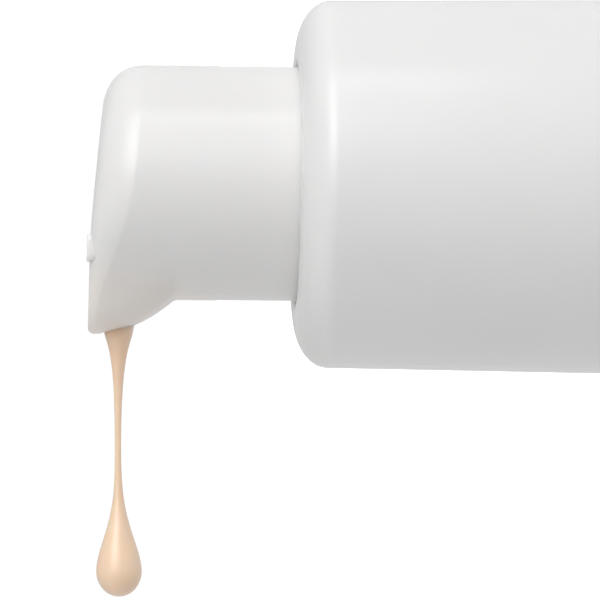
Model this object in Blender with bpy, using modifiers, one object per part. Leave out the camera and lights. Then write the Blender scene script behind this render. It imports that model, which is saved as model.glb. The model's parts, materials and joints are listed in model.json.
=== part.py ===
"""Airless pump bottle for liquid foundation, built piece by piece.

The bottle stands on the XY plane, its axis is +Z, and its spout points along -Y. Every size below is in
millimetres, and MM turns millimetres into Blender's metres. A height is measured up from the base, and a
reach is measured from the axis towards the spout.
"""

import math

import bmesh
import bpy
from mathutils import Vector

MM = 0.001

# Outer shell and base
SHOULDER_HEIGHT = 85.0
SHOULDER_RADIUS = 16.5
DRAFT_DEG = 0.75
SHELL_WALL = 1.6
SHOULDER_DROP = 3.05
SHOULDER_REACH = 4.5
OPENING_RADIUS = 11.05
SHELL_FOOT = 1.25
BASE_FLANGE = 1.1

# Inner container and follower
BARREL_RADIUS = 14.4
BARREL_BORE = 13.4
BARREL_FOOT = 1.4
BARREL_TOP = 65.2
NECK_RADIUS = 10.0
NECK_BORE = 8.6
NECK_RIM = 73.0
FOLLOWER_FOOT = 3.5
FOLLOWER_DECK = 11.0
LIP_CLEARANCE = 0.07
WELL_FLOOR = 4.6

# Dosing pump
CHAMBER_RADIUS = 5.0
CHAMBER_BORE = 4.0
INLET_BORE = 1.1
INLET_FOOT = 52.5
SEAT_HEIGHT = 54.6
SEAT_TOP_RADIUS = 3.4
RETAINER_STEP = 58.35
HOUSING_TOP = 75.1
FLANGE_THICKNESS = 1.0
BALL_RADIUS = 1.6
BALL_CLEARANCE = 0.1
STEM_RADIUS = 2.2
STEM_BORE = 1.3
STEM_FOOT = 69.3
STEM_TOP = 96.2
SPRING_FOOT = 59.65
SPRING_TOP = 67.35
SPRING_RADIUS = 2.75
WIRE_RADIUS = 0.28
SPRING_TURNS = 5

# Pump head
HEAD_RADIUS = 10.5
HEAD_WALL = 1.2
HEAD_RIM = 80.4
HEAD_TOP = 102.94
TOP_SLOPE = 0.094
TOP_SLOPE_FRONT = 0.016
TOP_BREAK = 4.2
TOP_THICKNESS = 1.4
EDGE_ROUNDING = 3.4
TIP_ROUNDING = 0.5
SPOUT_ROOT = 95.75
SPOUT_REACH = 3.1
SPOUT_NOSE_RADIUS = 6.2
SPOUT_CURVE = 2.2
RIB_REACH = 5.9
RIB_LENGTH = 14.6
RIB_WIDTH = 2.4
RIB_HEIGHT = 0.28

# Channel from the stem to the spout
CHANNEL_START = 97.7
CHANNEL_RISE_DEG = 12.8
CHANNEL_RADIUS = 1.0
CORE_ARM_RADIUS = 1.9
CORE_ARM_LENGTH = 7.3
NOZZLE_RADIUS = 1.45
NOZZLE_BORE = 0.85

# Drop of foundation
DROP_START_REACH = 13.75
DROP_START_HEIGHT = 100.72
DROP_LEAN_DEG = 0.57
DROP_LENGTH = 23.37
DROP_ROOT_RADIUS = 1.23
DROP_ROOT_DECAY = 2.7
THREAD_RADIUS = 0.28
BULB_RADIUS = 2.06
BULB_HALF_LENGTH = 2.37
BULB_NECK_LENGTH = 4.56
BULB_NECK_POWER = 1.8

# Facets round each kind of piece
SHELL_SEGMENTS = 48
HEAD_SEGMENTS = 48
RING_SEGMENTS = 32
PUMP_SEGMENTS = 24
SMALL_SEGMENTS = 16

# Finishes: base colour, roughness, metallic
WHITE_SHELL = ((0.85, 0.85, 0.86), 0.22, 0.0)
WHITE_HEAD = ((0.84, 0.83, 0.81), 0.28, 0.0)
NATURAL_PLASTIC = ((0.80, 0.79, 0.76), 0.4, 0.0)
SOFT_SEAL = ((0.72, 0.70, 0.66), 0.6, 0.0)
STEEL = ((0.62, 0.62, 0.63), 0.25, 1.0)
FOUNDATION = ((0.84, 0.63, 0.43), 0.2, 0.0)


def clear_scene():
    for old in list(bpy.data.objects):
        bpy.data.objects.remove(old, do_unlink=True)


def new_collection(name):
    collection = bpy.data.collections.new(name)
    bpy.context.scene.collection.children.link(collection)
    return collection


def give_material(piece, finish):
    """Gives the piece a Principled material of its own."""
    colour, roughness, metallic = finish
    material = bpy.data.materials.new(piece.name + "_material")
    material.use_nodes = True
    shader = material.node_tree.nodes["Principled BSDF"]
    shader.inputs["Base Color"].default_value = (*colour, 1.0)
    shader.inputs["Roughness"].default_value = roughness
    shader.inputs["Metallic"].default_value = metallic
    piece.data.materials.append(material)


def new_axis(name, height, parent=None):
    """Empty on the bottle's axis that a moving group hangs from."""
    axis = bpy.data.objects.new(name, None)
    axis.empty_display_type = "SINGLE_ARROW"
    axis.empty_display_size = 10.0 * MM
    parts.objects.link(axis)
    axis.location = (0.0, 0.0, height * MM)
    bpy.context.view_layer.update()
    if parent:
        hang(axis, parent)
    return axis


def hang(piece, axis):
    """Parents a piece to an axis without moving it."""
    bpy.context.view_layer.update()
    piece.parent = axis
    piece.matrix_parent_inverse = axis.matrix_world.inverted()


def add_object(name, data, finish=None, axis=None, location=(0.0, 0.0, 0.0), tilt_deg=0.0):
    """Places mesh or curve data as a piece, or as a cutter when it has no finish."""
    piece = bpy.data.objects.new(name, data)
    piece.location = Vector(location) * MM
    piece.rotation_euler = (math.radians(tilt_deg), 0.0, 0.0)
    if finish:
        parts.objects.link(piece)
        give_material(piece, finish)
    else:
        cutters.objects.link(piece)
        piece.hide_render = True
        piece.display_type = "WIRE"
    hang(piece, axis or bottle_axis)
    return piece


def turned(name, profile, segments, finish=None, axis=None, location=None, tilt_deg=0.0):
    """Turns a profile of (radius, height) points about +Z.

    The profile runs down the outer side. It either starts and ends on the axis, or it closes on itself as
    the section of a ring. Without a location its origin sits on the axis at the foot of the profile.
    """
    base = 0.0 if location else min(height for _, height in profile)
    mesh = bpy.data.meshes.new(name)
    points = [(radius * MM, 0.0, (height - base) * MM) for radius, height in profile]
    edges = [(i, i + 1) for i in range(len(points) - 1)]
    if profile[0][0] > 0.0:
        edges.append((len(points) - 1, 0))
    mesh.from_pydata(points, edges, [])
    piece = add_object(name, mesh, finish, axis, location or (0.0, 0.0, base), tilt_deg)
    screw = piece.modifiers.new("turn", "SCREW")
    screw.steps = screw.render_steps = segments
    screw.use_merge_vertices = True
    screw.merge_threshold = 0.00001
    screw.use_smooth_shade = True
    return piece


def rod_profile(radius, low, high):
    return [(0.0, high), (radius, high), (radius, low), (0.0, low)]


def tube_profile(radius, bore, low, high):
    return [(radius, high), (radius, low), (bore, low), (bore, high)]


def boolean(piece, operation, other):
    modifier = piece.modifiers.new(operation.lower(), "BOOLEAN")
    modifier.operation = operation
    modifier.solver = "EXACT"
    modifier.object = other


def quarter_ellipse(centre, reach, drop, count):
    """Points from the top of a quarter ellipse out and down to its side."""
    steps = [math.pi / 2 * i / count for i in range(count + 1)]
    return [(centre[0] + reach * math.sin(t), centre[1] + drop * math.cos(t)) for t in steps]


# ---- Outer shell and base


def shell_radius(height):
    """Outside radius of the shell, which widens towards the base."""
    fall = SHOULDER_HEIGHT - SHOULDER_DROP - height
    return SHOULDER_RADIUS + fall * math.tan(math.radians(DRAFT_DEG))


def make_outer_shell():
    edge = 0.35
    shoulder = (SHOULDER_RADIUS - SHOULDER_REACH, SHOULDER_HEIGHT - SHOULDER_DROP)
    outside = [(OPENING_RADIUS, SHOULDER_HEIGHT - edge), (OPENING_RADIUS + edge, SHOULDER_HEIGHT)]
    outside += quarter_ellipse(shoulder, SHOULDER_REACH, SHOULDER_DROP, 6)
    outside.append((shell_radius(SHELL_FOOT), SHELL_FOOT))
    inside = quarter_ellipse(shoulder, SHOULDER_REACH - SHELL_WALL, SHOULDER_DROP - SHELL_WALL, 4)
    inside.append((shell_radius(SHELL_FOOT) - SHELL_WALL, SHELL_FOOT))
    ceiling = (OPENING_RADIUS, SHOULDER_HEIGHT - SHELL_WALL)
    turned("outer_shell", outside + inside[::-1] + [ceiling], SHELL_SEGMENTS, WHITE_SHELL)


def make_base_cap():
    rim = shell_radius(SHELL_FOOT) - 0.05
    plug_top = 6.5
    plug_radius, plug_bore = 15.75, 14.75
    ledge_top = 3.2
    profile = [
        (0.0, BASE_FLANGE), (12.2, BASE_FLANGE), (12.2, ledge_top), (13.2, ledge_top), (13.2, BASE_FLANGE),
        (plug_bore, BASE_FLANGE), (plug_bore, plug_top), (plug_radius - 0.3, plug_top),
        (plug_radius, plug_top - 0.5), (plug_radius, BASE_FLANGE), (rim, BASE_FLANGE), (rim, 0.45),
        (rim - 0.45, 0.0), (14.9, 0.0), (14.6, 0.35), (12.4, 0.35), (12.1, 0.0), (0.0, 0.0),
    ]
    base_cap = turned("base_cap", profile, SHELL_SEGMENTS, WHITE_SHELL)
    vent = turned("vent_cutter", rod_profile(0.6, -2.0, 3.0), SMALL_SEGMENTS, location=(0.0, 8.0, 0.0))
    boolean(base_cap, "DIFFERENCE", vent)


# ---- Inner container


def make_inner_bottle():
    bead = 0.45
    turned("inner_bottle", [
        (NECK_RADIUS, NECK_RIM), (NECK_RADIUS, 71.4), (NECK_RADIUS + bead, 71.0), (NECK_RADIUS + bead, 70.5),
        (NECK_RADIUS, 70.2), (NECK_RADIUS, 67.8), (BARREL_RADIUS, 66.2), (BARREL_RADIUS, BARREL_FOOT),
        (BARREL_BORE, BARREL_FOOT), (BARREL_BORE, BARREL_TOP), (NECK_BORE, BARREL_TOP + 1.6),
        (NECK_BORE, NECK_RIM),
    ], RING_SEGMENTS, NATURAL_PLASTIC)


def make_follower_piston():
    """Cup with two sealing lips and a well that the pump's inlet dips into when the bottle is empty."""
    lip = BARREL_BORE - LIP_CLEARANCE
    waist = lip - 0.45
    turned("follower_piston", [
        (0.0, WELL_FLOOR), (5.6, WELL_FLOOR), (6.1, FOLLOWER_DECK), (11.9, FOLLOWER_DECK), (12.9, 12.05),
        (lip, 12.05), (lip, 11.2), (waist, 10.4), (waist, 5.3), (lip, 4.5), (lip, FOLLOWER_FOOT),
        (12.0, FOLLOWER_FOOT), (11.8, 9.8), (7.2, 9.8), (6.8, 3.6), (0.0, 3.6),
    ], RING_SEGMENTS, NATURAL_PLASTIC, follower_axis)


def make_foundation_charge():
    """The liquid, which fills the container round the pump and down to the follower."""
    gap = 0.3
    side = BARREL_BORE - 0.2
    recess = CHAMBER_RADIUS + 0.4
    turned("foundation_charge", [
        (0.0, INLET_FOOT - gap), (2.6, INLET_FOOT - gap), (recess, 56.5), (recess, 66.4), (8.5, 66.4),
        (side, 64.9), (side, 12.35), (12.85, 12.35), (11.8, FOLLOWER_DECK + gap), (5.8, FOLLOWER_DECK + gap),
        (5.3, WELL_FLOOR + gap), (0.0, WELL_FLOOR + gap),
    ], RING_SEGMENTS, FOUNDATION)


def make_neck_gasket():
    turned("neck_gasket", tube_profile(NECK_RADIUS, NECK_BORE + 0.1, 73.15, 73.95), RING_SEGMENTS, SOFT_SEAL)


def make_closure_ferrule():
    """Snap-on ring whose bead catches under the bead of the neck."""
    outside, inside, bead = 11.8, 10.75, 10.2
    turned("closure_ferrule", [
        (7.2, 76.25), (outside - 0.4, 76.25), (outside, 75.85), (outside, 68.3), (inside, 68.3),
        (bead, 69.2), (bead, 69.7), (inside, 70.1), (inside, 75.25), (7.2, 75.25),
    ], RING_SEGMENTS, NATURAL_PLASTIC)


def make_guide_collar():
    """Sleeve between the ferrule and the shell's shoulder, which guides the head."""
    bore, outside, flange = 10.8, 12.0, 13.2
    turned("guide_collar", [
        (flange, 83.2), (flange, 82.2), (outside, 81.2), (outside, 76.4), (bore, 76.4), (bore, 83.2),
    ], RING_SEGMENTS, WHITE_SHELL)


# ---- Dosing pump


def make_pump_housing():
    flange_foot = HOUSING_TOP - FLANGE_THICKNESS
    seat_top = SEAT_HEIGHT + SEAT_TOP_RADIUS - INLET_BORE
    turned("pump_housing", [
        (NECK_RADIUS, HOUSING_TOP), (NECK_RADIUS, flange_foot), (CHAMBER_RADIUS, flange_foot),
        (CHAMBER_RADIUS, 57.4), (2.2, 55.0), (2.2, INLET_FOOT), (INLET_BORE, INLET_FOOT),
        (INLET_BORE, SEAT_HEIGHT), (SEAT_TOP_RADIUS, seat_top), (SEAT_TOP_RADIUS, RETAINER_STEP),
        (CHAMBER_BORE, RETAINER_STEP), (CHAMBER_BORE, HOUSING_TOP),
    ], PUMP_SEGMENTS, NATURAL_PLASTIC)


def make_housing_cap():
    flange, plug = 6.9, CHAMBER_BORE - 0.15
    turned("housing_cap", [
        (flange - 0.4, 76.5), (flange, 76.1), (flange, 75.25), (plug, 75.25), (plug, 72.0),
        (STEM_RADIUS + 0.25, 72.0), (STEM_RADIUS + 0.25, 76.5),
    ], PUMP_SEGMENTS, NATURAL_PLASTIC)


def make_inlet_ball():
    """Ball just clear of the 45 degree seat of the inlet."""
    cone_point = SEAT_HEIGHT - INLET_BORE
    height = cone_point + (BALL_RADIUS + BALL_CLEARANCE) * math.sqrt(2.0)
    mesh = bpy.data.meshes.new("inlet_ball")
    shape = bmesh.new()
    bmesh.ops.create_uvsphere(shape, u_segments=SMALL_SEGMENTS, v_segments=10, radius=BALL_RADIUS * MM)
    shape.to_mesh(mesh)
    shape.free()
    mesh.shade_smooth()
    add_object("inlet_ball", mesh, STEEL, ball_axis, (0.0, 0.0, height))


def make_ball_retainer():
    turned("ball_retainer", tube_profile(CHAMBER_BORE - 0.15, 0.9, 58.5, 59.5), PUMP_SEGMENTS,
           NATURAL_PLASTIC)


def make_return_spring():
    """Compression spring whose end turns lie almost flat."""
    points_per_turn = 12
    count = SPRING_TURNS * points_per_turn
    travel = SPRING_TOP - SPRING_FOOT - 2.0 * WIRE_RADIUS
    flat_share = 0.045
    curve = bpy.data.curves.new("return_spring", "CURVE")
    curve.dimensions = "3D"
    spline = curve.splines.new("POLY")
    spline.points.add(count)
    for i, point in enumerate(spline.points):
        share = i / count
        turn = 2.0 * math.pi * SPRING_TURNS * share
        rise = (1.0 - 2.0 * flat_share) * share * share * (3.0 - 2.0 * share) + 2.0 * flat_share * share
        height = WIRE_RADIUS + travel * rise
        point.co = (SPRING_RADIUS * MM * math.cos(turn), SPRING_RADIUS * MM * math.sin(turn), height * MM, 1.0)
    curve.bevel_depth = WIRE_RADIUS * MM
    curve.bevel_resolution = 2
    curve.use_fill_caps = True
    add_object("return_spring", curve, STEEL, None, (0.0, 0.0, SPRING_FOOT))


def make_valve_rod():
    """Rod in the stem. Its head is the seat of the sliding seal and holds the top of the spring."""
    turned("valve_rod", [
        (0.0, 80.0), (0.7, 80.0), (0.95, 79.6), (0.95, 68.9), (1.5, 68.45), (3.0, 68.45), (3.0, 67.5),
        (2.0, 67.5), (2.0, 66.6), (1.7, 66.3), (0.0, 66.3),
    ], SMALL_SEGMENTS, NATURAL_PLASTIC, pump_axis)


def make_piston_seal():
    lip, waist, bore = CHAMBER_BORE - LIP_CLEARANCE, 3.65, STEM_RADIUS + 0.15
    turned("piston_seal", [
        (lip, 70.2), (lip, 69.9), (waist, 69.6), (waist, 69.2), (lip, 68.95), (lip, 68.65), (bore, 68.65),
        (bore, 70.2),
    ], PUMP_SEGMENTS, SOFT_SEAL, seal_axis)


def make_pump_stem():
    """Hollow stem with the collar that meets the housing cap when the pump is up."""
    collar = 2.9
    turned("pump_stem", [
        (STEM_RADIUS, STEM_TOP), (STEM_RADIUS, 71.85), (collar, 71.85), (collar, 71.1), (STEM_RADIUS, 71.1),
        (STEM_RADIUS, STEM_FOOT), (STEM_BORE, STEM_FOOT), (STEM_BORE, STEM_TOP),
    ], PUMP_SEGMENTS, NATURAL_PLASTIC, pump_axis)


# ---- Pump head


def top_height(reach):
    """Height of the head's top face, which climbs towards the spout and eases off past its break."""
    if reach < TOP_BREAK:
        return HEAD_TOP + TOP_SLOPE * reach
    return HEAD_TOP + TOP_SLOPE * TOP_BREAK + TOP_SLOPE_FRONT * (reach - TOP_BREAK)


def spout_share(height):
    """How much of the spout stands out at a height: nothing at its root, all of it at the lip."""
    lip_height = top_height(HEAD_RADIUS + SPOUT_REACH)
    t = min(max((height - SPOUT_ROOT) / (lip_height - SPOUT_ROOT), 0.0), 1.0)
    return 1.0 - (1.0 - t) ** SPOUT_CURVE


def plan_radius(angle):
    """Radius of the head with its whole spout, seen from above: a large and a small circle, and tangents."""
    angle = abs(math.remainder(angle, 2.0 * math.pi))
    nose_centre = HEAD_RADIUS + SPOUT_REACH - SPOUT_NOSE_RADIUS
    tangent = math.acos((HEAD_RADIUS - SPOUT_NOSE_RADIUS) / nose_centre)
    nose_x = nose_centre + SPOUT_NOSE_RADIUS * math.cos(tangent)
    nose_limit = math.atan2(SPOUT_NOSE_RADIUS * math.sin(tangent), nose_x)
    if angle >= tangent:
        return HEAD_RADIUS
    if angle >= nose_limit:
        return HEAD_RADIUS / math.cos(tangent - angle)
    across = nose_centre * math.sin(angle)
    return nose_centre * math.cos(angle) + math.sqrt(SPOUT_NOSE_RADIUS ** 2 - across ** 2)


def edge_rounding(angle):
    """Radius of the edge round the top, full at the back and small at the spout's lip."""
    turn = abs(math.remainder(angle, 2.0 * math.pi))
    t = min(max((turn - math.radians(6.0)) / math.radians(84.0), 0.0), 1.0)
    return TIP_ROUNDING + (EDGE_ROUNDING - TIP_ROUNDING) * t * t * (3.0 - 2.0 * t)


def head_column(angle, side_steps, edge_steps):
    """(radius, height) points up the head's outside at one angle from the spout's direction."""
    full = plan_radius(angle)
    rounding = edge_rounding(angle)
    lip = full - rounding
    edge_foot = top_height(full * math.cos(angle)) - rounding
    column = [(HEAD_RADIUS, HEAD_RIM)]
    for i in range(side_steps + 1):
        height = SPOUT_ROOT + (edge_foot - SPOUT_ROOT) * i / side_steps
        column.append((HEAD_RADIUS + (full - HEAD_RADIUS) * spout_share(height), height))
    side = column[-1][0]
    for i in range(1, edge_steps + 1):
        t = math.pi / 2 * i / edge_steps
        radius = lip + (side - lip) * math.cos(t)
        top = top_height(radius * math.cos(angle))
        column.append((radius, edge_foot + (top - edge_foot) * math.sin(t)))
    column.append((lip / 2.0, top_height(lip / 2.0 * math.cos(angle))))
    return column


def cavity_column(angle):
    """(radius, height) points up the wall of the hollow inside the head."""
    wall = HEAD_RADIUS - HEAD_WALL
    rounding = EDGE_ROUNDING - HEAD_WALL
    column = [(wall, HEAD_RIM - 2.0)]
    for i in range(4):
        t = math.pi / 2 * i / 3
        radius = wall - rounding * (1.0 - math.cos(t))
        ceiling = top_height(radius * math.cos(angle)) - TOP_THICKNESS
        column.append((radius, ceiling - rounding * (1.0 - math.sin(t))))
    return column


def column_mesh(name, column_at, segments, crown):
    """Closed body from the columns all round: a flat floor, the sides and a crown point."""
    shape = bmesh.new()
    rings = []
    for k in range(segments):
        angle = 2.0 * math.pi * k / segments
        ring = [shape.verts.new((r * MM * math.sin(angle), -r * MM * math.cos(angle), (z - HEAD_RIM) * MM))
                for r, z in column_at(angle)]
        rings.append(ring)
    top = shape.verts.new((0.0, 0.0, (crown - HEAD_RIM) * MM))
    for k in range(segments):
        here, after = rings[k], rings[(k + 1) % segments]
        for low in range(len(here) - 1):
            shape.faces.new((here[low], after[low], after[low + 1], here[low + 1]))
        shape.faces.new((here[-1], after[-1], top))
    shape.faces.new([ring[0] for ring in reversed(rings)])
    bmesh.ops.recalc_face_normals(shape, faces=shape.faces)
    mesh = bpy.data.meshes.new(name)
    shape.to_mesh(mesh)
    shape.free()
    mesh.shade_smooth()
    mesh.set_sharp_from_angle(angle=math.radians(40.0))
    return mesh


def channel_cutter(name, radius, start, end, axis):
    """Round cutter along the channel, from one distance along it to another."""
    return turned(name, rod_profile(radius, start, end), SMALL_SEGMENTS, None, axis,
                  (0.0, 0.0, CHANNEL_START), 90.0 - CHANNEL_RISE_DEG)


def make_rib_form():
    """Low rounded rib across the finger pad. It follows the pad's slope and is sunk into it."""
    depth = 1.2
    middle = top_height(RIB_REACH) + (RIB_HEIGHT - depth) / 2.0
    mesh = bpy.data.meshes.new("rib_form")
    shape = bmesh.new()
    bmesh.ops.create_cube(shape, size=MM)
    bmesh.ops.scale(shape, vec=(RIB_LENGTH, RIB_WIDTH, depth + RIB_HEIGHT), verts=shape.verts)
    shape.to_mesh(mesh)
    shape.free()
    tilt_deg = -math.degrees(math.atan(TOP_SLOPE_FRONT))
    rib = add_object("rib_form", mesh, None, head_axis, (0.0, -RIB_REACH, middle), tilt_deg)
    rounding = rib.modifiers.new("rounding", "BEVEL")
    rounding.width = 0.25 * MM
    rounding.segments = 2
    return rib


def make_actuator_head():
    rim = (0.0, 0.0, HEAD_RIM)
    outside = column_mesh("actuator_head", lambda angle: head_column(angle, 6, 4), HEAD_SEGMENTS, HEAD_TOP)
    head = add_object("actuator_head", outside, WHITE_HEAD, head_axis, rim)
    hollow = column_mesh("head_hollow", cavity_column, HEAD_SEGMENTS, HEAD_TOP - TOP_THICKNESS)
    boolean(head, "DIFFERENCE", add_object("head_hollow", hollow, None, head_axis, rim))
    bore = channel_cutter("spout_bore", NOZZLE_RADIUS + 0.15, 8.0, 18.0, head_axis)
    boolean(head, "DIFFERENCE", bore)
    boolean(head, "UNION", make_rib_form())


def make_actuator_core():
    """Inner moulding: the stem's socket, a flange in the skirt, and an arm towards the spout."""
    core = turned("actuator_core", [
        (0.0, 99.9), (2.7, 99.9), (3.4, 99.2), (3.4, 90.0), (9.1, 90.0), (9.1, 89.0), (3.4, 89.0),
        (3.4, 84.2), (STEM_RADIUS + 0.1, 84.2), (STEM_RADIUS + 0.1, STEM_TOP + 0.2),
        (STEM_BORE, STEM_TOP + 0.2), (STEM_BORE, 97.9), (0.0, 97.9),
    ], PUMP_SEGMENTS, NATURAL_PLASTIC, head_axis)
    boolean(core, "UNION", channel_cutter("core_arm", CORE_ARM_RADIUS, 2.5, CORE_ARM_LENGTH, head_axis))
    boolean(core, "DIFFERENCE", channel_cutter("core_bore", CHANNEL_RADIUS, 0.0, 10.0, head_axis))
    boolean(core, "DIFFERENCE", channel_cutter("core_socket", 1.35, 5.6, 10.0, head_axis))


def make_nozzle_insert():
    tail = 1.2
    turned("nozzle_insert", [
        (NOZZLE_RADIUS, 13.3), (NOZZLE_RADIUS, 7.5), (tail, 7.5), (tail, 5.9), (NOZZLE_BORE, 5.9),
        (NOZZLE_BORE, 13.3),
    ], SMALL_SEGMENTS, NATURAL_PLASTIC, head_axis, (0.0, 0.0, CHANNEL_START), 90.0 - CHANNEL_RISE_DEG)


# ---- Drop


def drop_radius(along):
    """Radius of the hanging drop at a distance from its root: a flared root, a thread and a bulb."""
    bulb_centre = DROP_LENGTH - BULB_HALF_LENGTH
    if along > bulb_centre:
        return BULB_RADIUS * math.sqrt(max(1.0 - ((along - bulb_centre) / BULB_HALF_LENGTH) ** 2, 0.0))
    root = (DROP_ROOT_RADIUS - THREAD_RADIUS) * math.exp(-along / DROP_ROOT_DECAY)
    neck = math.exp(-((bulb_centre - along) / BULB_NECK_LENGTH) ** BULB_NECK_POWER)
    return THREAD_RADIUS + root + (BULB_RADIUS - THREAD_RADIUS) * neck


def make_foundation_drop():
    bulb_centre = DROP_LENGTH - BULB_HALF_LENGTH
    along = [bulb_centre * i / 15 for i in range(16)]
    along += [bulb_centre + BULB_HALF_LENGTH * math.sin(math.pi / 2 * i / 5) for i in range(1, 6)]
    side = [(drop_radius(s), s) for s in along]
    side[-1] = (0.0, DROP_LENGTH)
    turned("foundation_drop", side[::-1] + [(0.0, 0.0)], SMALL_SEGMENTS, FOUNDATION, head_axis,
           (0.0, -DROP_START_REACH, DROP_START_HEIGHT), 90.0 + DROP_LEAN_DEG)


clear_scene()
parts = new_collection("foundation_bottle")
cutters = new_collection("cutters")
bottle_axis = new_axis("bottle_axis", 0.0)
follower_axis = new_axis("follower_slide", FOLLOWER_FOOT, bottle_axis)
ball_axis = new_axis("inlet_ball_lift", SEAT_HEIGHT, bottle_axis)
pump_axis = new_axis("pump_stroke", STEM_FOOT, bottle_axis)
seal_axis = new_axis("seal_lag", STEM_FOOT, pump_axis)
head_axis = new_axis("head_turn", HEAD_RIM, pump_axis)

make_outer_shell()
make_base_cap()
make_inner_bottle()
make_follower_piston()
make_foundation_charge()
make_neck_gasket()
make_closure_ferrule()
make_guide_collar()
make_pump_housing()
make_housing_cap()
make_inlet_ball()
make_ball_retainer()
make_return_spring()
make_valve_rod()
make_piston_seal()
make_pump_stem()
make_actuator_head()
make_actuator_core()
make_nozzle_insert()
make_foundation_drop()
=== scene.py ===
"""Looks of the airless foundation bottle: fine meshes, materials, light and the camera."""

import json
import math

import bmesh
import bpy
from mathutils import Matrix, Vector


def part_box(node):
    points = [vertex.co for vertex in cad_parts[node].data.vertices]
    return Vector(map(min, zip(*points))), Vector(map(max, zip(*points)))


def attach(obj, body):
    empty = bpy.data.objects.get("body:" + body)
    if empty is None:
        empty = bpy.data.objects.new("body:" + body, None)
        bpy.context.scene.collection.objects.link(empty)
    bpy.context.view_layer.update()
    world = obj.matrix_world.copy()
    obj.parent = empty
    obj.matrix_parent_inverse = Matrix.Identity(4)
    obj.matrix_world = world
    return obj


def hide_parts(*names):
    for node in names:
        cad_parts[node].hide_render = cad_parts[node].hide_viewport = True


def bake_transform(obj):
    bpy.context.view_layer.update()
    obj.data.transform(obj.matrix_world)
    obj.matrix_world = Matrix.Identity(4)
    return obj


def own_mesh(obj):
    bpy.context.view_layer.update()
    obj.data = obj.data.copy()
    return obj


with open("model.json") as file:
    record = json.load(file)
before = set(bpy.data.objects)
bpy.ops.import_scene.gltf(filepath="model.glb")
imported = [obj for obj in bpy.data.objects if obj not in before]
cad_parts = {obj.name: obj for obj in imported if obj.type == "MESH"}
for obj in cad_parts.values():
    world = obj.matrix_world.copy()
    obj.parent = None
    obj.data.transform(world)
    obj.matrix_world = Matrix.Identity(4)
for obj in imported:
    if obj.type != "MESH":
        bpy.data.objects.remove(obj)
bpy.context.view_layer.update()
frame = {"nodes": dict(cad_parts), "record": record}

MM = 0.001
WHITE = (1.0, 1.0, 1.0)


def low_mm(node):
    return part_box(node)[0] / MM


def high_mm(node):
    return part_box(node)[1] / MM


# Driving sizes in millimetres, read from the frame
SHOULDER_HEIGHT = high_mm("outer_shell").z
SHELL_FOOT = low_mm("outer_shell").z
SHELL_FOOT_RADIUS = high_mm("outer_shell").x
HEAD_RADIUS = high_mm("actuator_head").x
HEAD_RIM = low_mm("actuator_head").z
SPOUT_TIP = -low_mm("actuator_head").y
DROP_END = -low_mm("foundation_drop").y

# All sizes below are in millimetres too, except those of the light

# Shape of the shell
SHOULDER_RADIUS = 16.5
SHOULDER_DROP = 3.05
SHOULDER_REACH = 4.5
SHELL_WALL = 1.6
OPENING_RADIUS = 11.05

# Shape of the head
HEAD_WALL = 1.2
HEAD_TOP = 102.94
TOP_SLOPE = 0.094
TOP_SLOPE_FRONT = 0.016
TOP_BREAK = 4.2
TOP_THICKNESS = 1.4
EDGE_ROUNDING = 3.4
TIP_ROUNDING = 0.5
EDGE_CREASE = math.radians(14.0)
BACK_STRETCH = 0.15
BACK_FULLNESS = 0.13
SPOUT_ROOT = 95.75
SPOUT_REACH = SPOUT_TIP - HEAD_RADIUS
SPOUT_NOSE_RADIUS = 6.2
SPOUT_CURVE = 2.2
RIB_REACH = 5.9
RIB_LENGTH = 14.6
RIB_WIDTH = 2.4
RIB_HEIGHT = 0.28

# Channel from the stem to the spout
CHANNEL_START = 97.7
CHANNEL_RISE = math.radians(12.8)
NOZZLE_RADIUS = 1.45
NOZZLE_BORE = 0.85

# Shape of the drop
DROP_START = Vector((0.0, -13.75, 100.72))
DROP_LEAN = math.radians(0.57)
DROP_ROOT_RADIUS = 1.23
DROP_ROOT_DECAY = 2.7
DROP_ROOT_FLARE = 0.2
THREAD_RADIUS = 0.25
BULB_RADIUS = 2.05
BULB_HALF_LENGTH = 2.29
BULB_NECK_LENGTH = 4.45
BULB_NECK_POWER = 1.8
DROP_BOW = -0.07

# Light in metres: an even glow with broad lobes of (direction, power of the falloff, strength), and one
# upright softbox beside the bottle
WORLD_GLOW = 0.25
WORLD_LOBES = (
    ((2, 2, 1), 16, 3.2), ((2, 1, 1), 16, 3.2), ((0, -1, 1), 4, 0.4), ((0, -1, 0), 4, 0.6),
    ((-1, 1, 0), 4, 0.53), ((-1, -1, 0), 4, 0.34), ((-1, 0, 0), 4, 0.22), ((-1, 0, -1), 4, 0.25),
    ((0, 0, -1), 4, 0.75),
)
BACKDROP_BRIGHTNESS = 1.02
SOFTBOX_DISTANCE = 0.6
SOFTBOX_AZIMUTH = math.radians(65.0)
SOFTBOX_MIDDLE = 0.3
SOFTBOX_WIDTH = 0.15
SOFTBOX_HEIGHT = 0.64
SOFTBOX_RADIANCE = 1.8

# Edges that bend by more than this stay sharp in the shading
SHARP_CORNER = math.radians(50.0)
SHARP_HEAD_CORNER = math.radians(38.0)


def add_node(tree, kind, inputs=None):
    """New shader node, with values for some of its inputs."""
    node = tree.nodes.new("ShaderNode" + kind)
    set_inputs(node, inputs or {})
    return node


def set_inputs(node, values):
    for name, value in values.items():
        node.inputs[name].default_value = value


def node_material(name):
    """New material, with its node tree and its shader."""
    material = bpy.data.materials.new(name)
    material.use_nodes = True
    return material, material.node_tree, material.node_tree.nodes["Principled BSDF"]


# ---- Camera, floor and light


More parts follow.
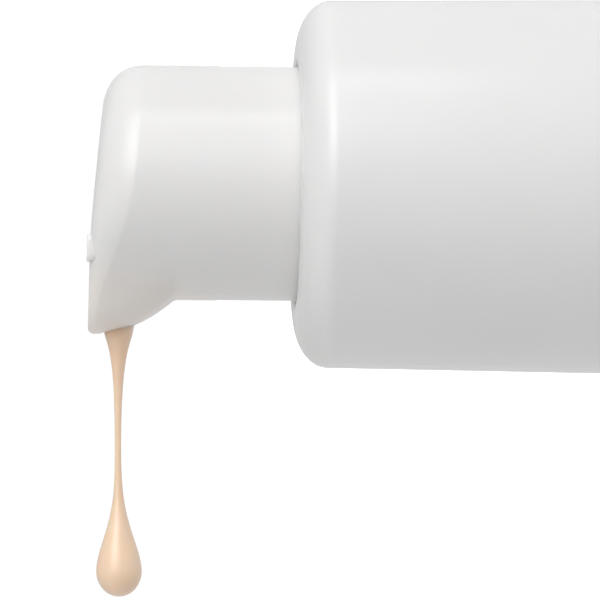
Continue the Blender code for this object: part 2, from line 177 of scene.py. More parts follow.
def make_camera():
    """Looks at the head from +X, a little from above the shoulder, turned so that the spout points down."""
    data = bpy.data.cameras.new("camera")
    camera = bpy.data.objects.new("camera", data)
    bpy.context.scene.collection.objects.link(camera)
    field = 53.9
    target = Vector((0.0, -10.4, 84.46))
    elevation = math.radians(2.9)
    roll = math.radians(0.45)
    data.sensor_width = 36.0
    data.lens = 250.0
    distance = field / data.sensor_width * data.lens
    back = Vector((math.cos(elevation), 0.0, math.sin(elevation)))
    camera.location = (target + back * distance) * MM
    right = Vector((0.0, 1.0, 0.0)).cross(back)
    up = back.cross(right)
    right, up = (right * math.cos(roll) + up * math.sin(roll), up * math.cos(roll) - right * math.sin(roll))
    camera.rotation_mode = "QUATERNION"
    camera.rotation_quaternion = Matrix((right, up, back)).transposed().to_quaternion()
    data.clip_start = 0.01
    data.clip_end = 50.0
    bpy.context.scene.camera = camera


def make_world():
    """White to the camera. The object gets an even glow and a few broad soft lobes of light."""
    world = bpy.data.worlds.new("studio")
    bpy.context.scene.world = world
    world.use_nodes = True
    tree = world.node_tree
    tree.nodes.clear()
    link = tree.links.new
    output = add_node(tree, "OutputWorld")
    mix = add_node(tree, "MixShader")
    backdrop = add_node(tree, "Background", {"Color": (*WHITE, 1.0), "Strength": BACKDROP_BRIGHTNESS})
    studio = add_node(tree, "Background", {"Color": (*WHITE, 1.0)})
    path = add_node(tree, "LightPath")
    where = add_node(tree, "TexCoord")
    ray = add_node(tree, "VectorMath")
    ray.operation = "NORMALIZE"
    link(where.outputs["Generated"], ray.inputs[0])
    total = None
    for direction, power, strength in WORLD_LOBES:
        facing = add_node(tree, "VectorMath", {1: Vector(direction).normalized()})
        facing.operation = "DOT_PRODUCT"
        front = add_node(tree, "Math", {1: 0.0})
        front.operation = "MAXIMUM"
        falloff = add_node(tree, "Math", {1: power})
        falloff.operation = "POWER"
        lobe = add_node(tree, "Math", {1: strength, 2: WORLD_GLOW})
        lobe.operation = "MULTIPLY_ADD"
        link(ray.outputs["Vector"], facing.inputs[0])
        link(facing.outputs["Value"], front.inputs[0])
        link(front.outputs["Value"], falloff.inputs[0])
        link(falloff.outputs["Value"], lobe.inputs[0])
        if total:
            link(total.outputs["Value"], lobe.inputs[2])
        total = lobe
    link(total.outputs["Value"], studio.inputs["Strength"])
    link(path.outputs["Is Camera Ray"], mix.inputs["Fac"])
    link(studio.outputs["Background"], mix.inputs[1])
    link(backdrop.outputs["Background"], mix.inputs[2])
    link(mix.outputs["Shader"], output.inputs["Surface"])


def make_softbox():
    """Upright soft light beside the bottle that faces its axis. Its azimuth runs from +X towards +Y."""
    data = bpy.data.lights.new("strip_softbox", "AREA")
    data.shape = "RECTANGLE"
    data.size, data.size_y = SOFTBOX_WIDTH, SOFTBOX_HEIGHT
    data.energy = SOFTBOX_RADIANCE * math.pi * SOFTBOX_WIDTH * SOFTBOX_HEIGHT
    light = bpy.data.objects.new("strip_softbox", data)
    bpy.context.scene.collection.objects.link(light)
    towards = Vector((math.cos(SOFTBOX_AZIMUTH), math.sin(SOFTBOX_AZIMUTH), 0.0))
    up = Vector((0.0, 0.0, 1.0))
    light.location = towards * SOFTBOX_DISTANCE + up * SOFTBOX_MIDDLE
    light.rotation_mode = "QUATERNION"
    light.rotation_quaternion = Matrix((up.cross(towards), up, towards)).transposed().to_quaternion()
    light.visible_camera = False


def make_floor():
    """Pale floor that shades softly near the bottle and brightens to white farther out."""
    data = bpy.data.meshes.new("floor")
    half_side = 3.0
    corners = [(x * half_side, y * half_side, 0.0) for x, y in ((-1, -1), (1, -1), (1, 1), (-1, 1))]
    data.from_pydata(corners, [], [(0, 1, 2, 3)])
    floor = bpy.data.objects.new("floor", data)
    bpy.context.scene.collection.objects.link(floor)
    floor.visible_diffuse = floor.visible_glossy = floor.visible_transmission = False
    floor.visible_shadow = False
    material, tree, shader = node_material("floor_white")
    set_inputs(shader, {
        "Base Color": (0.88, 0.88, 0.88, 1.0), "Roughness": 0.9, "Specular IOR Level": 0.1,
        "Emission Color": (*WHITE, 1.0),
    })
    where = add_node(tree, "TexCoord")
    reach = add_node(tree, "VectorMath")
    reach.operation = "LENGTH"
    glow = add_node(tree, "MapRange", {"From Min": 0.08, "From Max": 0.42, "To Min": 0.2, "To Max": 0.75})
    glow.interpolation_type = "SMOOTHSTEP"
    link = tree.links.new
    link(where.outputs["Object"], reach.inputs[0])
    link(reach.outputs["Value"], glow.inputs["Value"])
    link(glow.outputs["Result"], shader.inputs["Emission Strength"])
    data.materials.append(material)


# ---- Materials


def colour_ramp(tree, stops):
    """Colour ramp through (position, colour) stops."""
    ramp = add_node(tree, "ValToRGB")
    elements = ramp.color_ramp.elements
    while len(elements) < len(stops):
        elements.new(0.5)
    for element, (position, colour) in zip(elements, stops):
        element.position = position
        element.color = (*colour, 1.0)
    return ramp


def moulded_plastic(name, colour, roughness, softness):
    """Glossy moulded plastic: light sinks in a little, with faint flow marks and a fine moulded grain."""
    material, tree, shader = node_material(name)
    mottle, smearing, grain = 0.012, 0.15, 0.02
    dark = tuple(c * (1.0 - mottle) for c in colour)
    light = tuple(min(c * (1.0 + mottle), 1.0) for c in colour)
    where = add_node(tree, "TexCoord")
    flow = add_node(tree, "TexNoise", {"Scale": 90.0, "Detail": 3.0})
    tint = colour_ramp(tree, ((0.3, dark), (0.7, light)))
    smear = add_node(tree, "TexNoise", {"Scale": 220.0, "Detail": 4.0})
    gloss = add_node(tree, "MapRange", {
        "To Min": roughness * (1.0 - smearing), "To Max": roughness * (1.0 + smearing),
    })
    orange_peel = add_node(tree, "TexNoise", {"Scale": 1400.0, "Detail": 2.0})
    bump = add_node(tree, "Bump", {"Strength": grain, "Distance": 0.1 * MM})
    link = tree.links.new
    for texture in (flow, smear, orange_peel):
        link(where.outputs["Object"], texture.inputs["Vector"])
    link(flow.outputs["Fac"], tint.inputs["Fac"])
    link(tint.outputs["Color"], shader.inputs["Base Color"])
    link(smear.outputs["Fac"], gloss.inputs["Value"])
    link(gloss.outputs["Result"], shader.inputs["Roughness"])
    link(orange_peel.outputs["Fac"], bump.inputs["Height"])
    link(bump.outputs["Normal"], shader.inputs["Normal"])
    set_inputs(shader, {
        "Subsurface Weight": softness, "Subsurface Radius": (1.0, 0.9, 0.8), "Subsurface Scale": 1.2 * MM,
        "IOR": 1.49,
    })
    return material


def tint_with_liquid_and_bounce(material, centre, reach):
    """Warms the plastic towards a point in millimetres, where the liquid inside shows through it and painted
    warm bounce light from the liquid falls on it.
    """
    tree = material.node_tree
    shader = tree.nodes["Principled BSDF"]
    plain = shader.inputs["Base Color"].links[0].from_socket
    where = add_node(tree, "TexCoord")
    distance = add_node(tree, "VectorMath", {1: centre * MM})
    distance.operation = "DISTANCE"
    share = add_node(tree, "MapRange", {"From Max": reach * MM})
    # Painted warm bounce light on top of the liquid showing through: stops above 1 brighten the plain
    # colour, and the nearest stop darkens it warm
    liquid_and_bounce_tint = colour_ramp(tree, (
        (0.08, (1.0, 0.84, 0.72)), (0.2, (1.04, 0.97, 0.915)), (0.5, (1.045, 1.005, 0.965)), (1.0, WHITE),
    ))
    liquid_and_bounce_tint.color_ramp.interpolation = "EASE"
    mix = add_node(tree, "Mix", {"Factor": 1.0})
    mix.data_type = "RGBA"
    mix.blend_type = "MULTIPLY"
    first, second, result = mix.inputs[6], mix.inputs[7], mix.outputs[2]
    link = tree.links.new
    link(where.outputs["Object"], distance.inputs[0])
    link(distance.outputs["Value"], share.inputs["Value"])
    link(share.outputs["Result"], liquid_and_bounce_tint.inputs["Fac"])
    link(plain, first)
    link(liquid_and_bounce_tint.outputs["Color"], second)
    link(result, shader.inputs["Base Color"])


def spring_steel(name):
    """Drawn steel wire: bright, with fine streaks that vary its gloss."""
    material, tree, shader = node_material(name)
    where = add_node(tree, "TexCoord")
    streaks = add_node(tree, "TexNoise", {"Scale": 900.0, "Detail": 4.0})
    tint = colour_ramp(tree, ((0.0, (0.55, 0.55, 0.56)), (1.0, (0.68, 0.68, 0.69))))
    gloss = add_node(tree, "MapRange", {"To Min": 0.2, "To Max": 0.34})
    link = tree.links.new
    link(where.outputs["Object"], streaks.inputs["Vector"])
    link(streaks.outputs["Fac"], tint.inputs["Fac"])
    link(streaks.outputs["Fac"], gloss.inputs["Value"])
    link(tint.outputs["Color"], shader.inputs["Base Color"])
    link(gloss.outputs["Result"], shader.inputs["Roughness"])
    set_inputs(shader, {"Metallic": 1.0})
    return material


def liquid_foundation(name):
    """Creamy liquid: wet, opaque, with faint streaks of pigment and a slightly uneven surface."""
    material, tree, shader = node_material(name)
    where = add_node(tree, "TexCoord")
    streaks = add_node(tree, "TexNoise", {"Scale": 160.0, "Detail": 3.0, "Distortion": 0.6})
    tint = colour_ramp(tree, ((0.25, (0.87, 0.655, 0.475)), (0.75, (0.9, 0.685, 0.505))))
    ripples = add_node(tree, "TexNoise", {"Scale": 380.0, "Detail": 1.0})
    bump = add_node(tree, "Bump", {"Strength": 0.35, "Distance": 0.3 * MM})
    link = tree.links.new
    for texture in (streaks, ripples):
        link(where.outputs["Object"], texture.inputs["Vector"])
    link(streaks.outputs["Fac"], tint.inputs["Fac"])
    link(tint.outputs["Color"], shader.inputs["Base Color"])
    link(ripples.outputs["Fac"], bump.inputs["Height"])
    link(bump.outputs["Normal"], shader.inputs["Normal"])
    set_inputs(shader, {
        "Roughness": 0.28, "Coat Weight": 0.6, "Coat Roughness": 0.2, "Coat IOR": 1.5,
        "Subsurface Weight": 0.5, "Subsurface Radius": (1.0, 0.55, 0.3), "Subsurface Scale": 0.8 * MM,
        "IOR": 1.42,
    })
    return material


# ---- Meshes


def add_piece(name, mesh, material, body, node):
    """Puts a finished mesh in the scene in place of a CAD node."""
    mesh.materials.append(material)
    piece = bpy.data.objects.new(name, mesh)
    bpy.context.scene.collection.objects.link(piece)
    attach(piece, body)
    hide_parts(node)
    return piece


def rounded(profile, radius, closed):
    """The profile with its corners rounded, each with a smaller radius where its sides are short."""
    points = [Vector(p) for p in profile]
    count = len(points)
    steps = 5
    nearly_straight = math.radians(88.0)
    result = []
    for i, point in enumerate(points):
        if not closed and i in (0, count - 1):
            result.append(tuple(point))
            continue
        back = points[i - 1] - point
        ahead = points[(i + 1) % count] - point
        limit = 0.45 * min(back.length, ahead.length)
        back, ahead = back.normalized(), ahead.normalized()
        half = back.angle(ahead) / 2
        if half > nearly_straight:
            result.append(tuple(point))
            continue
        fitting = min(radius, limit * math.tan(half))
        centre = point + (back + ahead).normalized() * fitting / math.sin(half)
        start, end = point + back * fitting / math.tan(half), point + ahead * fitting / math.tan(half)
        first, last = (start - centre).normalized(), (end - centre).normalized()
        for k in range(steps + 1):
            result.append(tuple(centre + first.slerp(last, k / steps) * fitting))
    return result


def turned_mesh(name, profile, segments=128, closed=True):
    """Mesh of a (radius, height) profile turned about +Z. The profile runs down its outer side."""
    shape = bmesh.new()
    rings = []
    for radius, height in profile:
        if radius < 1e-6:
            rings.append([shape.verts.new((0.0, 0.0, height * MM))])
            continue
        ring = []
        for k in range(segments):
            angle = 2.0 * math.pi * k / segments
            ring.append(shape.verts.new((radius * MM * math.cos(angle), radius * MM * math.sin(angle),
                                         height * MM)))
        rings.append(ring)
    pairs = list(zip(rings, rings[1:]))
    if closed:
        pairs.append((rings[-1], rings[0]))
    for upper, lower in pairs:
        for k in range(segments):
            after = (k + 1) % segments
            if len(upper) == 1:
                shape.faces.new((upper[0], lower[k], lower[after]))
            elif len(lower) == 1:
                shape.faces.new((upper[k], lower[0], upper[after]))
            else:
                shape.faces.new((upper[k], lower[k], lower[after], upper[after]))
    bmesh.ops.recalc_face_normals(shape, faces=shape.faces)
    mesh = bpy.data.meshes.new(name)
    shape.to_mesh(mesh)
    shape.free()
    return mesh


def shade(mesh, sharpness):
    """Shades a mesh smooth, apart from its edges that bend by more than an angle."""
    mesh.shade_smooth()
    mesh.set_sharp_from_angle(angle=sharpness)


def quarter_ellipse(centre, reach, drop, count):
    """Points from straight above the centre to straight beside it."""
    steps = [math.pi / 2 * i / count for i in range(count + 1)]
    return [(centre[0] + reach * math.sin(t), centre[1] + drop * math.cos(t)) for t in steps]


def combined(mesh, operation, other):
    """The mesh joined with another, cut by it or kept inside it, with the slivers along the seam removed."""
    body = bpy.data.objects.new("body", mesh)
    tool = bpy.data.objects.new("tool", other)
    for piece in (body, tool):
        bpy.context.scene.collection.objects.link(piece)
    modifier = body.modifiers.new("combine", "BOOLEAN")
    modifier.operation = operation
    modifier.solver = "EXACT"
    modifier.object = tool
    evaluated = body.evaluated_get(bpy.context.evaluated_depsgraph_get())
    result = bpy.data.meshes.new_from_object(evaluated)
    for piece in (body, tool):
        bpy.data.objects.remove(piece)
    weld_distance, sliver_width = 0.003, 0.001
    shape = bmesh.new()
    shape.from_mesh(result)
    bmesh.ops.remove_doubles(shape, verts=shape.verts, dist=weld_distance * MM)
    bmesh.ops.dissolve_degenerate(shape, edges=shape.edges, dist=sliver_width * MM)
    shape.to_mesh(result)
    shape.free()
    return result


def make_shell(material):
    """Outer sleeve with its rounded shoulder, the softened edge of its opening and its wall inside."""
    edge, foot_edge = 0.35, 0.15
    edge_steps = 6
    shoulder = (SHOULDER_RADIUS - SHOULDER_REACH, SHOULDER_HEIGHT - SHOULDER_DROP)
    lip = [(OPENING_RADIUS + edge * (1.0 - math.sin(t)), SHOULDER_HEIGHT - edge * (1.0 - math.cos(t)))
           for t in (math.pi / 2 * (1.0 - i / edge_steps) for i in range(edge_steps + 1))]
    outside = lip + quarter_ellipse(shoulder, SHOULDER_REACH, SHOULDER_DROP, 24)
    outside += [(SHELL_FOOT_RADIUS, SHELL_FOOT + foot_edge), (SHELL_FOOT_RADIUS - foot_edge, SHELL_FOOT)]
    inside = quarter_ellipse(shoulder, SHOULDER_REACH - SHELL_WALL, SHOULDER_DROP - SHELL_WALL, 8)
    inside.append((SHELL_FOOT_RADIUS - SHELL_WALL, SHELL_FOOT))
    ceiling = (OPENING_RADIUS, SHOULDER_HEIGHT - SHELL_WALL)
    mesh = turned_mesh("shell_skin", outside + inside[::-1] + [ceiling], 192)
    shade(mesh, SHARP_CORNER)
    add_piece("shell_skin", mesh, material, "bottle", "outer_shell")


def make_base(material):
    """Plug with a flange to stand on, two rings that grip the sleeve and the container, and a vent hole."""
    rim = high_mm("base_cap").x
    plate, recess, edge = 1.1, 0.35, 0.45
    profile = [
        (0.0, plate), (12.2, plate), (12.2, 3.2), (13.2, 3.2), (13.2, plate), (14.75, plate), (14.75, 6.5),
        (15.45, 6.5), (15.75, 6.0), (15.75, plate), (rim, plate), (rim, edge), (rim - edge, 0.0),
        (14.9, 0.0), (14.6, recess), (12.4, recess), (12.1, 0.0), (0.0, 0.0),
    ]
    vent_radius, vent_offset, vent_top, vent_foot = 0.6, 8.0, 3.0, -2.0
    vent = [(0.0, vent_top), (vent_radius, vent_top), (vent_radius, vent_foot), (0.0, vent_foot)]
    vent = turned_mesh("vent", vent, 48, False)
    vent.transform(Matrix.Translation((0.0, vent_offset * MM, 0.0)))
    mesh = turned_mesh("base_form", rounded(profile, 0.12, False), 192, False)
    mesh = combined(mesh, "DIFFERENCE", vent)
    shade(mesh, SHARP_CORNER)
    add_piece("base_plug", mesh, material, "bottle", "base_cap")


def make_turned_pieces(natural, white, seal):
    """Rings and sleeves between the shell, the container and the pump, with softened edges."""
    pieces = (
        ("collar_ring", "guide_collar", "bottle", white, "shell_white", [
            (13.2, 83.2), (13.2, 82.2), (12.0, 81.2), (12.0, 76.4), (10.8, 76.4), (10.8, 83.2),
        ]),
        ("ferrule_ring", "closure_ferrule", "bottle", natural, "natural_plastic", [
            (7.2, 76.25), (11.4, 76.25), (11.8, 75.85), (11.8, 68.3), (10.75, 68.3), (10.2, 69.2),
            (10.2, 69.7), (10.75, 70.1), (10.75, 75.25), (7.2, 75.25),
        ]),
        ("gasket_ring", "neck_gasket", "bottle", seal, "soft_seal", [
            (10.0, 73.95), (10.0, 73.15), (8.7, 73.15), (8.7, 73.95),
        ]),
        ("container_wall", "inner_bottle", "bottle", natural, "natural_plastic", [
            (10.0, 73.0), (10.0, 71.4), (10.45, 71.0), (10.45, 70.5), (10.0, 70.2), (10.0, 67.8),
            (14.4, 66.2), (14.4, 1.4), (13.4, 1.4), (13.4, 65.2), (8.6, 66.8), (8.6, 73.0),
        ]),
        ("stem_tube", "pump_stem", "plunger", natural, "natural_plastic", [
            (2.2, 96.2), (2.2, 71.85), (2.9, 71.85), (2.9, 71.1), (2.2, 71.1), (2.2, 69.3), (1.3, 69.3),
            (1.3, 96.2),
        ]),
        ("seal_ring", "piston_seal", "outlet_seal", seal, "soft_seal", [
            (3.93, 70.2), (3.93, 69.9), (3.65, 69.6), (3.65, 69.2), (3.93, 68.95), (3.93, 68.65),
            (2.35, 68.65), (2.35, 70.2),
        ]),
    )
    for name, node, body, material, slot, profile in pieces:
        mesh = turned_mesh(name, rounded(profile, 0.1, True), 96)
        shade(mesh, SHARP_CORNER)
        add_piece(name, mesh, material, body, node)


def make_spring(material):
    """Round wire wound into a spring with nearly flat end turns."""
    foot, top = low_mm("return_spring").z, high_mm("return_spring").z
    wire, radius, turns, flat_share = 0.28, 2.75, 5, 0.045
    around, along_turn = 16, 48
    travel = top - foot - 2.0 * wire
    count = turns * along_turn

    def centre(i):
        share = i / count
        turn = 2.0 * math.pi * turns * share
        rise = (1.0 - 2.0 * flat_share) * share * share * (3.0 - 2.0 * share) + 2.0 * flat_share * share
        return Vector((radius * math.cos(turn), radius * math.sin(turn), foot + wire + travel * rise))

    shape = bmesh.new()
    rings = []
    for i in range(count + 1):
        middle = centre(i)
        along = (centre(min(i + 1, count)) - centre(max(i - 1, 0))).normalized()
        outward = Vector((middle.x, middle.y, 0.0)).normalized()
        across = along.cross(outward).normalized()
        outward = across.cross(along)
        ring = []
        for k in range(around):
            angle = 2.0 * math.pi * k / around
            point = middle + (outward * math.cos(angle) + across * math.sin(angle)) * wire
            ring.append(shape.verts.new(point * MM))
        rings.append(ring)
    for lower, upper in zip(rings, rings[1:]):
        for k in range(around):
            after = (k + 1) % around
            shape.faces.new((lower[k], lower[after], upper[after], upper[k]))
    shape.faces.new(rings[0])
    shape.faces.new(rings[-1])
    bmesh.ops.recalc_face_normals(shape, faces=shape.faces)
    mesh = bpy.data.meshes.new("wire_spring")
    shape.to_mesh(mesh)
    shape.free()
    shade(mesh, SHARP_CORNER)
    spring = add_piece("wire_spring", mesh, material, "bottle", "return_spring")
    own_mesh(spring)


def make_charge(material):
    """The liquid inside: its foot at the follower and the rest round the pump."""
    top, foot = high_mm("foundation_charge").z, low_mm("foundation_charge").z
    side = high_mm("foundation_charge").x
    deck, follower_end, still_start = 11.3, 12.35, 52.2
    profile = [
        (0.0, still_start), (2.6, still_start), (5.4, 56.5), (5.4, top), (8.5, top), (side, top - 1.5),
        (side, follower_end), (12.85, follower_end), (11.8, deck), (5.8, deck), (5.3, foot), (0.0, foot),
    ]
    mesh = turned_mesh("liquid_charge", rounded(profile, 0.15, False), 96, False)
    shade(mesh, SHARP_CORNER)
    mesh.materials.append(material)
    charge = bpy.data.objects.new("liquid_charge", mesh)
    bpy.context.scene.collection.objects.link(charge)
    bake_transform(charge)
    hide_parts("foundation_charge")


# ---- Head


def smooth_step(t):
    t = min(max(t, 0.0), 1.0)
    return t * t * (3.0 - 2.0 * t)


def top_height(reach):
    """Height of the head's top face, which climbs towards the spout and eases off past its break."""
    soft = 1.2
    past = soft * math.log1p(math.exp(min((reach - TOP_BREAK) / soft, 50.0)))
    return HEAD_TOP + TOP_SLOPE * reach + (TOP_SLOPE_FRONT - TOP_SLOPE) * past


def spout_share(height):
    """How much of the spout stands out at a height: nothing at its root, all of it at the lip."""
    lip_height = top_height(HEAD_RADIUS + SPOUT_REACH)
    soft = 0.08
    rise = height - SPOUT_ROOT
    rise = soft * math.log1p(math.exp(rise / soft)) if rise < 1.0 else rise
    t = min(max(rise / (lip_height - SPOUT_ROOT), 0.0), 1.0)
    return 1.0 - (1.0 - t) ** SPOUT_CURVE


def turn_from_spout(angle):
    """The angle to the spout's direction, the same on both sides: 0 at the spout and half a turn behind."""
    return abs(math.remainder(angle, 2.0 * math.pi))


def plan_radius(angle):
    """Radius of the head with its whole spout, seen from above: a large and a small circle, and tangents."""
    angle = turn_from_spout(angle)
    nose_centre = HEAD_RADIUS + SPOUT_REACH - SPOUT_NOSE_RADIUS
    tangent = math.acos((HEAD_RADIUS - SPOUT_NOSE_RADIUS) / nose_centre)
    nose_x = nose_centre + SPOUT_NOSE_RADIUS * math.cos(tangent)
    nose_limit = math.atan2(SPOUT_NOSE_RADIUS * math.sin(tangent), nose_x)
    if angle >= tangent:
        return HEAD_RADIUS
    if angle >= nose_limit:
        return HEAD_RADIUS / math.cos(tangent - angle)
    across = nose_centre * math.sin(angle)
    return nose_centre * math.cos(angle) + math.sqrt(SPOUT_NOSE_RADIUS ** 2 - across ** 2)


def edge_rounding(angle):
    """Radius of the edge round the top, full at the back and small at the spout's lip."""
    share = smooth_step((turn_from_spout(angle) - math.radians(6.0)) / math.radians(84.0))
    return TIP_ROUNDING + (EDGE_ROUNDING - TIP_ROUNDING) * share


def crease_angle(angle):
    """How far the rounded edge leans where it leaves the side: a crease that fades out towards the back."""
    share = smooth_step((turn_from_spout(angle) - math.radians(115.0)) / math.radians(50.0))
    return EDGE_CREASE * (1.0 - share)


def head_column(angle):
    """(radius, height) points up the head's outside at one angle from the spout's direction."""
    full = plan_radius(angle)
    rounding = edge_rounding(angle)
    back = smooth_step(turn_from_spout(angle) / (math.pi / 2) - 1.0)
    lip = full - rounding * (1.0 + BACK_STRETCH * back)
    fullness = 1.0 - BACK_FULLNESS * back
    edge_foot = top_height(full * math.cos(angle)) - rounding
    low_edge, low_corner = 0.25, 0.07
    column = [(HEAD_RADIUS - low_edge, HEAD_RIM), (HEAD_RADIUS - low_corner, HEAD_RIM + low_corner),
              (HEAD_RADIUS, HEAD_RIM + low_edge)]
    lower_steps, side_steps, edge_steps, top_steps = 6, 40, 16, 24
    blend_start = SPOUT_ROOT - 0.8
    column += [(HEAD_RADIUS, HEAD_RIM + low_edge + (blend_start - HEAD_RIM - low_edge) * i / lower_steps)
               for i in range(1, lower_steps)]
    for i in range(side_steps + 1):
        height = blend_start + (edge_foot - blend_start) * i / side_steps
        column.append((HEAD_RADIUS + (full - HEAD_RADIUS) * spout_share(height), height))
    side = column[-1][0]
    crease = crease_angle(angle)
    for i in range(1, edge_steps + 1):
        t = crease + (math.pi / 2 - crease) * i / edge_steps
        radius = lip + (side - lip) * (abs(math.cos(t)) / math.cos(crease)) ** fullness
        top = top_height(radius * math.cos(angle))
        rise = ((math.sin(t) - math.sin(crease)) / (1.0 - math.sin(crease))) ** fullness
        column.append((radius, edge_foot + (top - edge_foot) * rise))
    for i in range(1, top_steps):
        radius = lip * (1.0 - i / top_steps)
        column.append((radius, top_height(radius * math.cos(angle))))
    return column


def cavity_column(angle):
    """(radius, height) points up the wall of the hollow inside the head."""
    wall = HEAD_RADIUS - HEAD_WALL
    rounding = EDGE_ROUNDING - HEAD_WALL
    steps = 8
    column = [(wall, HEAD_RIM)]
    for i in range(steps + 1):
        t = math.pi / 2 * i / steps
        radius = wall - rounding * (1.0 - math.cos(t))
        ceiling = top_height(radius * math.cos(angle)) - TOP_THICKNESS
        column.append((radius, ceiling - rounding * (1.0 - math.sin(t))))
    return column


def head_mesh(hollow=True):
    """Closed mesh of the head: the outside up to its crown, and the hollow up to its ceiling or a floor."""
    segments = 240
    shape = bmesh.new()

    def grid(column_at, crown, outward):
        rings = []
        for k in range(segments):
            angle = 2.0 * math.pi * k / segments
            rings.append([shape.verts.new((r * MM * math.sin(angle), -r * MM * math.cos(angle), z * MM))
                          for r, z in column_at(angle)])
        top = shape.verts.new((0.0, 0.0, crown * MM))
        for k in range(segments):
            here, after = rings[k], rings[(k + 1) % segments]
            for low in range(len(here) - 1):
                face = (here[low], after[low], after[low + 1], here[low + 1])
                shape.faces.new(face if outward else face[::-1])
            face = (here[-1], after[-1], top)
            shape.faces.new(face if outward else face[::-1])
        return [ring[0] for ring in rings]

    outer_rim = grid(head_column, HEAD_TOP, True)
    if hollow:
        inner_rim = grid(cavity_column, HEAD_TOP - TOP_THICKNESS, False)
        for k in range(segments):
            after = (k + 1) % segments
            shape.faces.new((outer_rim[after], outer_rim[k], inner_rim[k], inner_rim[after]))
    else:
        shape.faces.new(outer_rim[::-1])
    mesh = bpy.data.meshes.new("head_form")
    shape.to_mesh(mesh)
    shape.free()
    return mesh


def rib_mesh():
    """Low rounded rib across the finger pad, sunk into the head."""
    depth, corner, edge = 1.2, 0.6, 0.16
    shape = bmesh.new()
    bmesh.ops.create_cube(shape, size=MM)
    bmesh.ops.scale(shape, vec=(RIB_LENGTH, RIB_WIDTH, depth + RIB_HEIGHT), verts=shape.verts)
    upright = [e for e in shape.edges if abs(e.verts[0].co.z - e.verts[1].co.z) > depth / 2.0 * MM]
    bmesh.ops.bevel(shape, geom=upright, offset=corner * MM, segments=6, profile=0.5, affect="EDGES")
    top = [e for e in shape.edges if min(v.co.z for v in e.verts) > 0.0]
    bmesh.ops.bevel(shape, geom=top, offset=edge * MM, segments=4, profile=0.5, affect="EDGES")
    middle = top_height(RIB_REACH) + (RIB_HEIGHT - depth) / 2.0
    tilt = Matrix.Rotation(-math.atan(TOP_SLOPE_FRONT), 4, "X")
    shape.transform(Matrix.Translation(Vector((0.0, -RIB_REACH, middle)) * MM) @ tilt)
    mesh = bpy.data.meshes.new("rib_form")
    shape.to_mesh(mesh)
    shape.free()
    return mesh


def lay_along_channel(mesh):
    """Moves a mesh made along +Z to the channel that leads from the stem to the spout."""
    turn = Matrix.Rotation(math.pi / 2 - CHANNEL_RISE, 4, "X")
    mesh.transform(Matrix.Translation(Vector((0.0, 0.0, CHANNEL_START)) * MM) @ turn)


def make_head(material):
    """Head with its rib and the bore for the nozzle, which runs from inside it out through the lip."""
    radius, start, end = NOZZLE_RADIUS + 0.15, 8.0, 18.0
    bore = turned_mesh("bore", [(0.0, end), (radius, end), (radius, start), (0.0, start)], 64, False)
    lay_along_channel(bore)
    mesh = combined(head_mesh(), "UNION", rib_mesh())
    mesh = combined(mesh, "DIFFERENCE", bore)
    shade(mesh, SHARP_HEAD_CORNER)
    add_piece("pump_head", mesh, material, "head", "actuator_head")


def make_nozzle(material):
    """Tube pressed into the spout and trimmed flush with it. Its heights run along the channel."""
    mouth, step, foot = 13.3, 7.5, 5.9
    tail_radius, edge = 1.2, 0.12
    profile = [
        (NOZZLE_RADIUS - edge, mouth), (NOZZLE_RADIUS, mouth - edge), (NOZZLE_RADIUS, step),
        (tail_radius, step), (tail_radius, foot), (NOZZLE_BORE, foot), (NOZZLE_BORE, mouth - edge),
        (NOZZLE_BORE + edge, mouth),
    ]
    mesh = turned_mesh("nozzle_form", rounded(profile, 0.06, True), 64)
    lay_along_channel(mesh)
    mesh = combined(mesh, "INTERSECT", head_mesh(hollow=False))
    shade(mesh, SHARP_CORNER)
    add_piece("nozzle_tube", mesh, material, "head", "nozzle_insert")


# ---- Drop


def drop_radius(along, length):
    """Radius of the hanging drop at a distance from its root: a flared root, a thread and a bulb."""
    bulb_centre = length - BULB_HALF_LENGTH
    if along < 0.0:
        return DROP_ROOT_RADIUS - along * DROP_ROOT_FLARE
    if along > bulb_centre:
        return BULB_RADIUS * math.sqrt(max(1.0 - ((along - bulb_centre) / BULB_HALF_LENGTH) ** 2, 0.0))
    root = (DROP_ROOT_RADIUS - THREAD_RADIUS) * math.exp(-along / DROP_ROOT_DECAY)
    neck = math.exp(-((bulb_centre - along) / BULB_NECK_LENGTH) ** BULB_NECK_POWER)
    return THREAD_RADIUS + root + (BULB_RADIUS - THREAD_RADIUS) * neck


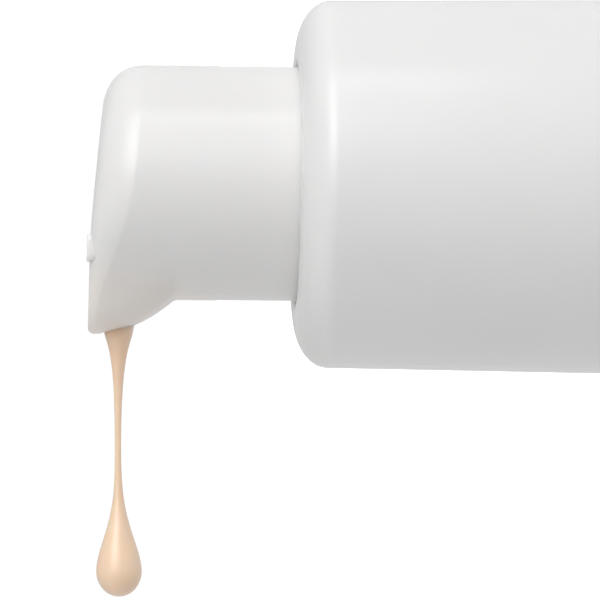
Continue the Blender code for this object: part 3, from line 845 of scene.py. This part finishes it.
def make_drop(material):
    """The drop on its thread, turned round +Z, bowed a little and laid out from the spout."""
    length = DROP_END + DROP_START.y
    bulb_centre = length - BULB_HALF_LENGTH
    above = 1.4
    thread_steps, bulb_steps = 90, 24
    along = [-above + (bulb_centre + above) * i / thread_steps for i in range(thread_steps + 1)]
    along += [bulb_centre + BULB_HALF_LENGTH * math.sin(math.pi / 2 * i / bulb_steps)
              for i in range(1, bulb_steps + 1)]
    side = [(drop_radius(s, length), s) for s in along]
    side[-1] = (0.0, length)
    mesh = turned_mesh("hanging_drop", side[::-1] + [(0.0, -above)], 72, False)
    mesh.shade_smooth()
    for vertex in mesh.vertices:
        share = min(max(vertex.co.z / MM / length, 0.0), 1.0)
        vertex.co.y -= DROP_BOW * MM * math.sin(math.pi * share ** 0.8) ** 2
    turn = Matrix.Rotation(math.pi / 2 + DROP_LEAN, 4, "X")
    mesh.transform(Matrix.Translation(DROP_START * MM) @ turn)
    add_piece("hanging_drop", mesh, material, "head", "foundation_drop")


# ---- Pieces carried over from the frame


def dress_carried(materials):
    """Gives each CAD node that still shows the material of its slot."""
    slots = {entry["node"]: entry["material_slot"] for entry in frame["record"]["subparts"]}
    for name, node in frame["nodes"].items():
        if node.hide_render:
            continue
        node.data.materials.clear()
        node.data.materials.append(materials[slots[name]])


make_camera()
make_world()
make_floor()
make_softbox()

bpy.context.scene.view_settings.view_transform = "Standard"

shell_white = moulded_plastic("shell_white", (0.802, 0.80, 0.80), 0.24, 0.25)
head_white = moulded_plastic("head_white", (0.803, 0.797, 0.79), 0.22, 0.5)
# Painted warm bounce light, with the liquid showing through, on the head near the drop's root
tint_with_liquid_and_bounce(head_white, DROP_START, 12.0)
natural = moulded_plastic("natural_plastic", (0.74, 0.73, 0.69), 0.42, 0.4)
soft_seal = moulded_plastic("soft_seal", (0.66, 0.64, 0.6), 0.6, 0.3)
steel = spring_steel("spring_steel")
foundation = liquid_foundation("foundation")
MATERIALS = {
    "shell_white": shell_white, "head_white": head_white, "natural_plastic": natural,
    "soft_seal": soft_seal, "spring_steel": steel, "foundation": foundation,
}

make_shell(shell_white)
make_base(shell_white)
make_turned_pieces(natural, shell_white, soft_seal)
make_spring(steel)
make_charge(foundation)
make_head(head_white)
make_nozzle(natural)
make_drop(foundation)
dress_carried(MATERIALS)
